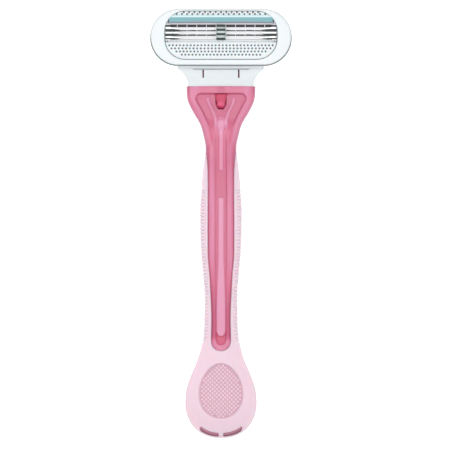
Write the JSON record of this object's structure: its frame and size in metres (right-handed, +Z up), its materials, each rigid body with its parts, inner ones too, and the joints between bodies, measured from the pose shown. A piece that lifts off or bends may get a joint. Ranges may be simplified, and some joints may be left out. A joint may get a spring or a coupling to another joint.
{
  "type": "cartridge razor",
  "caption": "Wet-shaving razor with a translucent handle in a soft overmould, and a pivoting head with floating blades, a lubricating strip and dotted soft pads that slides off the handle.",
  "frame": {"origin": "centre of the razor's bounding box, on the surface it lies on", "axes": "+Y from the tail towards the head, +Z up out of the blade side, +X to the right seen from the blade side with the head up"},
  "size_m": [0.0462, 0.14, 0.0148],
  "materials": {
    "handle_core": "glossy translucent rose",
    "grip_overmould": "soft satin, pale pink, slightly translucent",
    "docking_nose": "satin, deep rose",
    "button_spring": "plain spring wire",
    "plunger_spring": "plain spring wire",
    "release_button": "glossy dark red",
    "plunger": "satin, pale grey",
    "connector": "satin, cool white",
    "cartridge_housing": "satin, white",
    "soft_surround": "soft matte, white with a cool tint",
    "guard_pad": "soft matte, white, dotted",
    "cap_pad": "soft matte, white, dotted",
    "lubricating_strip": "waxy teal",
    "end_clip_left": "dark satin metal",
    "end_clip_right": "dark satin metal",
    "centre_clip": "dark satin metal",
    "blade_1": "bright ground edge",
    "blade_support_1": "plain sheet",
    "blade_2": "bright ground edge",
    "blade_support_2": "plain sheet",
    "blade_3": "bright ground edge",
    "blade_support_3": "plain sheet"
  },
  "bodies": {
    "handle": {"handle_core": "handle_core", "grip_overmould": "grip_overmould", "docking_nose": "docking_nose", "button_spring": "button_spring", "plunger_spring": "plunger_spring"},
    "release_button": {"release_button": "release_button"},
    "plunger": {"plunger": "plunger"},
    "connector": {"connector": "connector"},
    "cartridge": {"cartridge_housing": "cartridge_housing", "soft_surround": "soft_surround", "guard_pad": "guard_pad", "cap_pad": "cap_pad", "lubricating_strip": "lubricating_strip", "end_clip_left": "end_clip_left", "end_clip_right": "end_clip_right", "centre_clip": "centre_clip"},
    "blade_unit_1": {"blade_1": "blade_1", "blade_support_1": "blade_support_1"},
    "blade_unit_2": {"blade_2": "blade_2", "blade_support_2": "blade_support_2"},
    "blade_unit_3": {"blade_3": "blade_3", "blade_support_3": "blade_support_3"}
  },
  "joints": [
    {"name": "cartridge_detach", "type": "slide", "parent": "handle", "child": "connector", "axis": [0, 1, 0], "range_m": [0, 0.016]},
    {"name": "cartridge_pivot", "type": "hinge", "parent": "connector", "child": "cartridge", "pos_m": [0, 0.0565, 0.0076], "axis": [-1, 0, 0], "range_deg": [0, 40], "stiffness_Nm_per_rad": 0.01, "springref_deg": -17.19},
    {"name": "plunger_slide", "type": "slide", "parent": "handle", "child": "plunger", "axis": [0, -1, 0], "range_m": [0, 0.0027], "deforming": ["plunger_spring"]},
    {"name": "button_slide", "type": "slide", "parent": "handle", "child": "release_button", "axis": [0, 1, 0], "range_m": [0, 0.0023], "stiffness_N_per_m": 300, "springref_m": -0.001, "deforming": ["button_spring"]},
    {"name": "blade_1_float", "type": "slide", "parent": "cartridge", "child": "blade_unit_1", "axis": [0, 0, -1], "range_m": [0, 0.00025], "stiffness_N_per_m": 600, "springref_m": -0.0002},
    {"name": "blade_2_float", "type": "slide", "parent": "cartridge", "child": "blade_unit_2", "axis": [0, 0, -1], "range_m": [0, 0.00025], "stiffness_N_per_m": 600, "springref_m": -0.0002},
    {"name": "blade_3_float", "type": "slide", "parent": "cartridge", "child": "blade_unit_3", "axis": [0, 0, -1], "range_m": [0, 0.00025], "stiffness_N_per_m": 600, "springref_m": -0.0002}
  ],
  "couplings": [
    {"joint": "plunger_slide", "follows": "cartridge_pivot", "m_per_rad": 0.00386}
  ]
}
